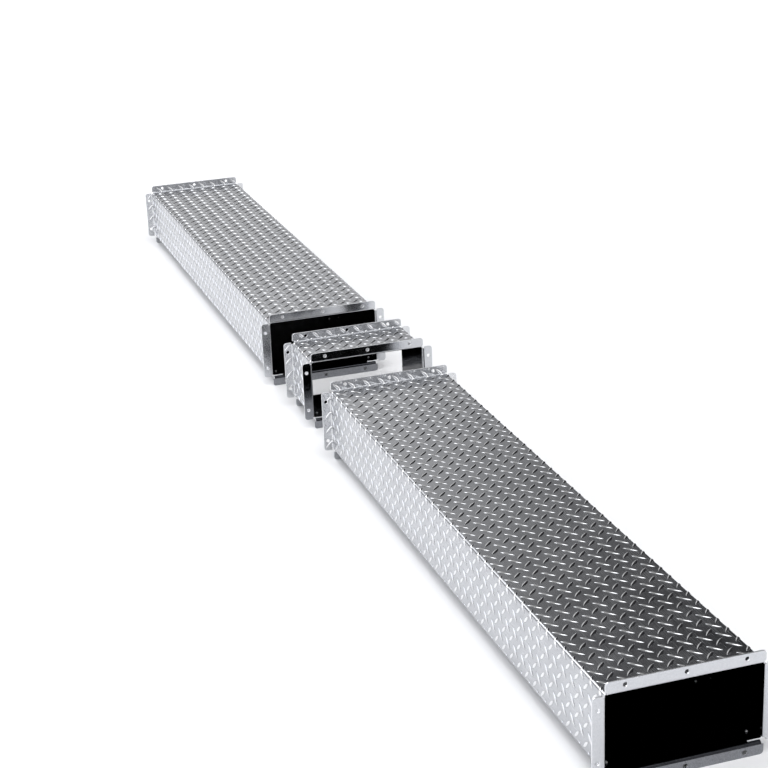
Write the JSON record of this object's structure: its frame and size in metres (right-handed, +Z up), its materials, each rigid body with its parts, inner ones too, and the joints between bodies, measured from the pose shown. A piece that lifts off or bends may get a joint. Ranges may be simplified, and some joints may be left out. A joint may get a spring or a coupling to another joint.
{
  "type": "flanged tread plate duct run",
  "caption": "Two long box ducts of folded tread plate and a short coupling duct between them, open at both ends, with a four-tab bolting flange on every end.",
  "frame": {"origin": "on the ground, below the middle of the whole pulled-apart run", "axes": "+Z up, +Y along the ducts from the near section to the far section, +X to the right when looking along +Y"},
  "size_m": [0.287, 2.951, 0.161],
  "materials": {
    "tread_sheet": "bright mill-finish aluminium tread plate, raised lugs on the outer faces, smooth inner faces",
    "rivet": "satin aluminium blind rivets"
  },
  "bodies": {
    "coupling_section": {"coupling_section_shell": "tread_sheet", "coupling_section_floor_plate": "tread_sheet", "coupling_section_rivet_left_1": "rivet", "coupling_section_rivet_left_2": "rivet", "coupling_section_rivet_right_1": "rivet", "coupling_section_rivet_right_2": "rivet"},
    "far_section": {"far_section_shell": "tread_sheet", "far_section_floor_plate": "tread_sheet", "far_section_rivet_left_1": "rivet", "far_section_rivet_left_2": "rivet", "far_section_rivet_left_3": "rivet", "far_section_rivet_left_4": "rivet", "far_section_rivet_left_5": "rivet", "far_section_rivet_left_6": "rivet", "far_section_rivet_left_7": "rivet", "far_section_rivet_left_8": "rivet", "far_section_rivet_left_9": "rivet", "far_section_rivet_right_1": "rivet", "far_section_rivet_right_2": "rivet", "far_section_rivet_right_3": "rivet", "far_section_rivet_right_4": "rivet", "far_section_rivet_right_5": "rivet", "far_section_rivet_right_6": "rivet", "far_section_rivet_right_7": "rivet", "far_section_rivet_right_8": "rivet", "far_section_rivet_right_9": "rivet"},
    "near_section": {"near_section_shell": "tread_sheet", "near_section_floor_plate": "tread_sheet", "near_section_rivet_left_1": "rivet", "near_section_rivet_left_2": "rivet", "near_section_rivet_left_3": "rivet", "near_section_rivet_left_4": "rivet", "near_section_rivet_left_5": "rivet", "near_section_rivet_left_6": "rivet", "near_section_rivet_left_7": "rivet", "near_section_rivet_left_8": "rivet", "near_section_rivet_left_9": "rivet", "near_section_rivet_right_1": "rivet", "near_section_rivet_right_2": "rivet", "near_section_rivet_right_3": "rivet", "near_section_rivet_right_4": "rivet", "near_section_rivet_right_5": "rivet", "near_section_rivet_right_6": "rivet", "near_section_rivet_right_7": "rivet", "near_section_rivet_right_8": "rivet", "near_section_rivet_right_9": "rivet"}
  },
  "joints": [
    {"name": "far_section_slide", "type": "slide", "parent": "coupling_section", "child": "far_section", "axis": [0.0786, -0.9969, 0], "range_m": [0, 0.13963]},
    {"name": "near_section_slide", "type": "slide", "parent": "coupling_section", "child": "near_section", "axis": [0.0644, 0.9979, 0], "range_m": [0, 0.17055]}
  ]
}
